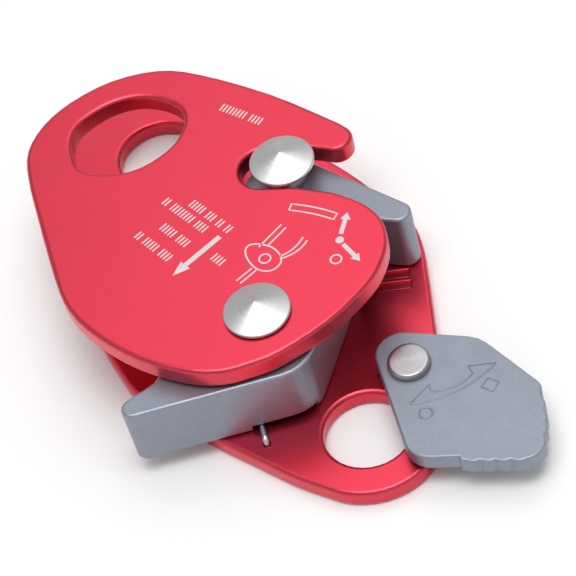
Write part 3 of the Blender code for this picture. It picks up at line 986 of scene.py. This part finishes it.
@dataclass
class SidePlates(SubAssembly):
    """The fixed back plate and the swinging front plate."""

    rounding: float = 1.0
    spacing: float = 0.8
    grooves: tuple[tuple[Point, Point], ...] = (
        ((25.0, -16.0), (26.3, -25.2)),
        ((21.9, -15.5), (23.3, -25.9)),
    )
    seats: tuple[tuple[str, float], ...] = (("pivot_rivet", 3.8), ("catch_rivet", 3.4), ("lever_rivet", 2.6))
    seat_depth: float = 1.9
    seat_flare: float = 1.6
    groove_width: float = 1.8
    groove_depth: float = 0.45
    lip: float = 0.3
    foot_bore: float = 0.85
    track_radius: float = 6.2
    track_start: float = -15.0
    track_end: float = 88.0
    track_wire: float = 1.4
    track_height: float = 4.9
    gloss: float = 0.34
    coat: float = 0.25
    coat_gloss: float = 0.3

    def anodising(self, name: str, low: float, top: float) -> Anodised:
        """Return the red anodising of a plate between two heights."""
        return Anodised(name, RED, self.gloss, coat=self.coat, coat_roughness=self.coat_gloss,
                        low=low, top=top)

    def outlines(self, node: str) -> list[Loop]:
        """Return a plate's fine rim and holes at its middle height."""
        low, top = heights(node)
        return [flowing(loop, self.spacing) for loop in section(node, (low + top) / 2)]

    def build_front(self) -> Piece:
        """Build the front plate from its rim, connector eye and bore."""
        low, top = heights("front_plate")
        rim, eye, bore = self.outlines("front_plate")
        plate = slab("front_plate_forged", [rim, eye], low, top, self.rounding)
        cut(plate, slab("bore", [bore], low - 1, top + 1))
        finish_faces(plate)
        finish = self.anodising("red_anodised_front", low, top)
        return self.settle(plate, Body.COVER, Slot.RED, finish, "front_plate")

    def build_back(self, foot: Point) -> Piece:
        """Build the back plate with its eyes, rivet seats, grooves, spring anchor and detent track.

        Args:
            foot: the place of the spring's anchor hole.

        Returns:
            The plate.
        """
        low, top = heights("back_plate")
        loops = self.outlines("back_plate")
        rim, eye, round_eye = loops[:3]
        plate = slab("back_plate_forged", [rim, eye, round_eye], low, top, self.rounding)
        for node, shank in self.seats:
            wide = shank + self.seat_flare
            seat = [(0, top + 1), (shank, top + 1), (shank, self.seat_depth), (wide, 0), (wide, -1), (0, -1)]
            cut(plate, turned("seat", seat, middle(node), steps=64))
        for start, end in self.grooves:
            bar = capsule(start, end, self.groove_width, steps=1)
            cut(plate, slab("groove", [bar], top - self.groove_depth, top + 1))
            rail = capsule(start, end, self.groove_width + self.lip, steps=1)
            for first, last in zip(rail, rail[1:] + rail[:1]):
                route = [(*first, top + self.lip / 3), (*last, top + self.lip / 3)]
                cut(plate, wire("lip", route, self.lip))
        cut(plate, turned("anchor", [(0, top + 1), (self.foot_bore, top + 1), (self.foot_bore, -1), (0, -1)],
                          foot, steps=32))
        track = arc(middle("lever_rivet"), self.track_radius, self.track_start, self.track_end, 40)
        cut(plate, wire("track", [(x, y, self.track_height) for x, y in track], self.track_wire))
        finish_faces(plate)
        finish = self.anodising("red_anodised_back", low, top)
        return self.settle(plate, Body.FRAME, Slot.RED, finish, "back_plate")


@dataclass
class Castings(SubAssembly):
    """The cam, the anvil and the stop lever."""

    rounding: float = 0.7
    spacing: float = 0.6
    lever_rounding: float = 0.45
    gloss: float = 0.46
    metal: float = 0.85
    washer_bore: float = 9.2
    washer_depth: float = 0.3
    bush_bore: float = 6.2
    pocket_bore: float = 7.2
    pocket_roof: float = 9.9
    fan_turns: tuple[tuple[float, float], ...] = ((-4.0, 1.0), (52.0, -1.0))
    fan_play: float = 0.4
    fan_reach: float = 12.0
    anvil_bore: float = 3.4
    lever_bore: float = 2.6
    lever_recess: float = 3.9

    def coating(self, name: str, low: float, top: float, edge: float) -> Cast:
        """Return the grey coat of a casting between two heights, with edges of one radius."""
        return Cast(name, GREY, self.gloss, metallic=self.metal, low=low, top=top, edge=edge)

    def block(self, name: str, node: str, bore: list[Point], axis: Point) -> Piece:
        """Build a block from its outline, with its bore.

        Args:
            name: the piece's name.
            node: the CAD block.
            bore: the profile of the solid that the bore takes out.
            axis: the place of the bore's axis.

        Returns:
            The block, without its finish.
        """
        low, top = heights(node)
        rim = flowing(section(node, (low + top) / 2)[0], self.spacing)
        piece = slab(name, [rim], low, top, self.rounding)
        cut(piece, turned("bore", bore, axis, steps=96))
        return piece

    def build_cam(self, spring: Spring) -> None:
        """Build the cam, with the spring's pocket and the fan that its leg swings in.

        Args:
            spring: the spring, whose leg sets the fan.
        """
        low, top = heights("cam_block")
        seat = top - self.washer_depth
        bore = [(0, top + 1), (self.washer_bore, top + 1), (self.washer_bore, seat), (self.bush_bore, seat),
                (self.bush_bore, self.pocket_roof), (self.pocket_bore, self.pocket_roof),
                (self.pocket_bore, low - 1), (0, low - 1)]
        piece = self.block("cam_casting", "cam_block", bore, (0, 0))
        fan = [(0.0, 0.0)]
        for turn, side in self.fan_turns:
            along = spring.start + turn
            first = polar((0, 0), spring.coil + side * (spring.radius + self.fan_play), along)
            last = polar(first, spring.leg + self.fan_reach, along + 90)
            fan += [first, last] if side > 0 else [last, first]
        cut(piece, slab("fan", [fan], low - 1, spring.height + spring.radius + 0.3))
        finish_faces(piece)
        finish = self.coating("cast_grey_cam", low, top, self.rounding)
        self.settle(piece, Body.CAM, Slot.CAST, finish, "cam_block")

    def build_anvil(self) -> None:
        """Build the fixed anvil."""
        low, top = heights("anvil_block")
        bore = [(0, top + 1), (self.anvil_bore, top + 1), (self.anvil_bore, low - 1), (0, low - 1)]
        piece = self.block("anvil_casting", "anvil_block", bore, middle("catch_rivet"))
        finish_faces(piece)
        finish = self.coating("cast_grey_anvil", low, top, self.rounding)
        self.settle(piece, Body.FRAME, Slot.CAST, finish, "anvil_block")

    def build_lever(self) -> None:
        """Build the stop lever with its washer recess, and its raised double arrow."""
        low, top = heights("stop_lever")
        pin = middle("lever_rivet")
        rim = flowing(section("stop_lever", (low + top) / 2)[0], 0.4, crease=28)
        piece = slab("lever_casting", [rim], low, top, self.lever_rounding, steps=3)
        bore = [(0, top + 1), (self.lever_recess, top + 1), (self.lever_recess, top - 1),
                (self.lever_bore, top - 1), (self.lever_bore, low - 1), (0, low - 1)]
        cut(piece, turned("bore", bore, pin, steps=64))
        finish_faces(piece)
        finish = self.coating("cast_grey_lever", low, top, self.lever_rounding)
        self.settle(piece, Body.LEVER, Slot.CAST, finish, "stop_lever")
        marks = LeverMarks()
        marks.build(top, finish)
        self.made += marks.made


@dataclass
class LeverMarks(SubAssembly):
    """The raised lines on the lever: a bowed double arrow with a ring and a square at its ends."""

    line: float = 0.42
    go_tip: Point = (-11.64, -29.8)
    bow: Point = (-9.0, -38.1)
    stop_tip: Point = (-1.57, -46.4)
    stop_barb: Point = (-2.33, -40.75)
    stop_neck: Point = (-4.1, -41.9)
    inner_bow: Point = (-7.35, -38.5)
    go_neck: Point = (-8.6, -33.75)
    go_barb: Point = (-6.8, -33.2)
    ring_place: Point = (-13.9, -33.2)
    ring_radius: float = 1.35
    square_place: Point = (-7.0, -45.6)
    square_side: float = 2.6

    def raise_line(self, name: str, loop: Loop, top: float, finish: Finish) -> None:
        """Raise one closed line out of the lever's face.

        Args:
            name: the piece's name.
            loop: the line's points.
            top: the lever's upper face.
            finish: the lever's finish.
        """
        height = top - self.line * 0.12
        route = [(x, y, height) for x, y in loop + loop[:1]]
        self.settle(wire(name, route, self.line / 2, 3), Body.LEVER, Slot.CAST, finish)

    def build(self, top: float, finish: Finish) -> None:
        """Build the arrow, the ring and the square.

        Args:
            top: the lever's upper face.
            finish: the lever's finish.
        """
        arrow = bow_arc(self.go_tip, self.bow, self.stop_tip, 18) + [self.stop_barb]
        arrow += bow_arc(self.stop_neck, self.inner_bow, self.go_neck, 14) + [self.go_barb]
        self.raise_line("lever_arrow_raised", arrow, top, finish)
        self.raise_line("lever_ring_raised", arc(self.ring_place, self.ring_radius, 0, 345, 23), top, finish)
        corners = [polar(self.square_place, self.square_side * 0.7, 20 + 90 * k) for k in range(4)]
        self.raise_line("lever_square_raised", corners, top, finish)


@dataclass
class Printing(SubAssembly):
    """The plain pale marks printed on the front plate: arrows, ticks and a simple sign, with no lettering."""

    thickness: float = 0.02
    line: float = 0.36
    tick_height: float = 2.1
    tick_pitch: float = 0.85
    rows: tuple[tuple[Point, float, tuple[int, ...]], ...] = (
        ((21.6, 8.6), 50.3, (2, 2, 3, 5)),
        ((21.9, 13.9), 50.3, (4, 8, 2)),
        ((18.1, 17.2), 50.3, (4, 5)),
        ((14.4, 20.4), 50.3, (4, 5, 2)),
        ((12.9, 8.9), 50.3, (4,)),
        ((51.9, 6.0), 63.2, (4, 8)),
    )

    def mark(self, name: str, loops: list[Loop]) -> Piece:
        """Build one printed mark on the front plate's face.

        Args:
            name: the piece's name.
            loops: its outlines.

        Returns:
            The mark.
        """
        top = heights("front_plate")[1]
        piece = slab(name, loops, top - self.thickness, top + self.thickness)
        return self.settle(piece, Body.COVER, Slot.RED, INK)

    def arrow(self, name: str, tail: Point, tip: Point, width: float, head: float, length: float) -> Piece:
        """Build a printed arrow.

        Args:
            name: the piece's name.
            tail: where its shaft starts.
            tip: its point.
            width: the shaft's width.
            head: the head's width.
            length: the head's length.

        Returns:
            The arrow.
        """
        start, end = Vector(tail), Vector(tip)
        along = (end - start).normalized()
        side = Vector((-along.y, along.x))
        neck = end - along * length
        corners = [start + side * width / 2, neck + side * width / 2, neck + side * head / 2, end,
                   neck - side * head / 2, neck - side * width / 2, start - side * width / 2]
        return self.mark(name, [[tuple(corner) for corner in corners]])

    def ticks(self) -> None:
        """Print the rows of plain ticks, each row in groups."""
        for number, (start, angle, groups) in enumerate(self.rows):
            loops, reach = [], self.line
            for group in groups:
                for _ in range(group):
                    at, half = polar(start, reach, angle), self.tick_height / 2
                    ends = [polar(at, half, angle + 90), polar(at, -half, angle + 90)]
                    loops.append(stroke(ends, self.line))
                    reach += self.tick_pitch
                reach += self.tick_pitch
            self.mark(f"print_ticks_{number}", loops)

    def outline(self, name: str, loop: Loop) -> Piece:
        """Print a closed outline as a line of even width.

        Args:
            name: the mark's name.
            loop: the middle of the line.

        Returns:
            The mark.
        """
        half = self.line / 2
        return self.mark(name, [beside(loop, reach, closed=True) for reach in (half, -half)])

    def build_sign(self) -> None:
        """Print the plain sign of a rope through a device: a rounded body with a ring, and the rope."""
        body = [(16.1, 4.7), (17.6, 4.0), (17.7, 1.6), (16.4, -1.4), (13.4, -3.2), (10.9, -1.8), (10.9, 1.0),
                (13.2, 3.5)]
        self.outline("print_sign_body", flowing(body, 0.35, crease=80))
        self.outline("print_sign_ring", arc((13.9, 0.3), 1.2, 0, 360, 24)[:-1])
        ropes = {"upper": [((22.9, -2.0), (17.0, 2.0)), ((22.1, -3.1), (17.5, 0.0))],
                 "lower": [((11.4, 2.7), (8.2, 5.5)), ((10.9, 1.7), (7.5, 4.6))]}
        for name, lines in ropes.items():
            self.mark("print_sign_rope_" + name, [stroke(list(line), self.line) for line in lines])
        bends = [bow_arc((19.4, -7.0), (16.8, -5.7), (14.4, -2.7), 10),
                 bow_arc((18.5, -8.0), (15.9, -6.4), (13.9, -3.3), 10)]
        self.mark("print_sign_rope_bend", [stroke(bend, self.line) for bend in bends])

    def build(self) -> None:
        """Print the arrows and the dot, the bar and ring beside them, the ticks, and the sign."""
        self.arrow("print_long_arrow", (20.05, 10.7), (9.9, 19.25), 1.2, 2.9, 3.6)
        self.mark("print_dot", [arc((18.35, -14.8), 0.9, 0, 360, 32)[:-1]])
        self.arrow("print_stop_arrow", (19.95, -14.85), (25.75, -15.6), 0.95, 2.2, 1.9)
        self.arrow("print_go_arrow", (17.25, -15.6), (12.7, -19.65), 0.95, 2.2, 1.9)
        bar = stroke(bow_arc((27.6, -3.3), (26.5, -8.3), (24.7, -13.2), 12), 1.7)
        self.outline("print_stop_bar", bar)
        self.outline("print_go_ring", arc((13.3, -14.6), 1.15, 0, 360, 32)[:-1])
        self.ticks()
        self.build_sign()


# Studio


@dataclass(frozen=True)
class Softbox:
    """A large soft lamp that points at the object."""

    name: str
    azimuth: float
    elevation: float
    distance: float
    width: float
    depth: float
    power: float
    colour: Triple = (1.0, 1.0, 1.0)

    def build(self, aim: Vector) -> None:
        """Hang the lamp and point it at the aim."""
        flat = polar((0, 0), cos(radians(self.elevation)), self.azimuth)
        away = Vector((*flat, sin(radians(self.elevation))))
        light = bpy.data.lights.new(self.name, "AREA")
        light.shape = "RECTANGLE"
        light.size = self.width
        light.size_y = self.depth
        light.energy = self.power
        light.color = self.colour
        lamp = link_new(self.name, light)
        lamp.location = aim + away * self.distance
        lamp.rotation_mode = "QUATERNION"
        lamp.rotation_quaternion = (-away).to_track_quat("-Z", "Y")


@dataclass
class Studio:
    """Camera, lamps, pale floor and the light of the room."""

    camera_place: Triple = (-294.9, -114.6, 398.35)
    camera_azimuth: float = 19.92
    camera_tilt: float = 49.39
    camera_roll: float = -16.57
    lens: float = 152.4
    room: float = 0.48
    floor_size: float = 6.0
    floor_colour: tuple[float, ...] = (0.97, 0.97, 0.97, 1)
    floor_roughness: float = 0.9
    clip: tuple[float, float] = (0.01, 20.0)
    softboxes: tuple[Softbox, ...] = (
        Softbox("lamp_overhead_left", 168, 77, 1.1, 0.55, 0.55, 3.8),
        Softbox("lamp_overhead_right", -112, 77, 1.1, 0.45, 0.45, 2.4),
        Softbox("lamp_far_side", 0, 59, 1.4, 1.1, 0.95, 3.75),
        Softbox("lamp_near_side", 205, 35, 1.4, 1.0, 0.7, 0.35),
    )

    def build_camera(self) -> None:
        """Place the camera and make it the scene's."""
        data = bpy.data.cameras.new("camera")
        data.lens = self.lens
        data.clip_start, data.clip_end = self.clip
        camera = link_new("camera", data)
        flat = polar((0, 0), cos(radians(self.camera_tilt)), self.camera_azimuth)
        ahead = Vector((*flat, -sin(radians(self.camera_tilt))))
        camera.location = Vector(self.camera_place) * MM
        camera.rotation_mode = "QUATERNION"
        roll = Quaternion((0, 0, 1), radians(self.camera_roll))
        camera.rotation_quaternion = ahead.to_track_quat("-Z", "Y") @ roll
        bpy.context.scene.camera = camera

    def build_floor(self) -> None:
        """Lay the pale floor that the part lies on."""
        bpy.ops.object.select_all(action="DESELECT")
        bpy.ops.mesh.primitive_plane_add(size=self.floor_size, location=(0, 0, 0))
        floor = bpy.context.view_layer.objects.active
        floor.name = "floor"
        material = bpy.data.materials.new("pale_floor")
        material.use_nodes = True
        shader = material.node_tree.nodes["Principled BSDF"]
        shader.inputs["Base Color"].default_value = self.floor_colour
        shader.inputs["Roughness"].default_value = self.floor_roughness
        floor.data.materials.append(material)

    def build_room(self) -> None:
        """Set the even light that comes from the room all round."""
        world = bpy.data.worlds.new("room")
        world.use_nodes = True
        back = world.node_tree.nodes["Background"]
        back.inputs["Color"].default_value = (1.0, 1.0, 1.0, 1)
        back.inputs["Strength"].default_value = self.room
        bpy.context.scene.world = world

    def build(self) -> None:
        """Build the studio."""
        self.build_camera()
        self.build_floor()
        self.build_room()
        aim = (CAD_BOX[0] + CAD_BOX[1]) / 2
        for softbox in self.softboxes:
            softbox.build(aim)
        bpy.context.scene.view_settings.view_transform = "Standard"


def main() -> None:
    """Build the studio and every sub-assembly."""
    logging.basicConfig(level=logging.INFO, format="%(message)s")
    Studio().build()
    hardware, spring, plates, castings, printing = Hardware(), Spring(), SidePlates(), Castings(), Printing()
    hardware.build()
    spring.build()
    plates.build_back(spring.foot_place())
    plates.build_front()
    castings.build_cam(spring)
    castings.build_anvil()
    castings.build_lever()
    printing.build()
    total = sum(len(group.made) for group in (hardware, spring, plates, castings, printing))
    LOG.info("%d pieces built", total)


if __name__ == "__main__":
    main()
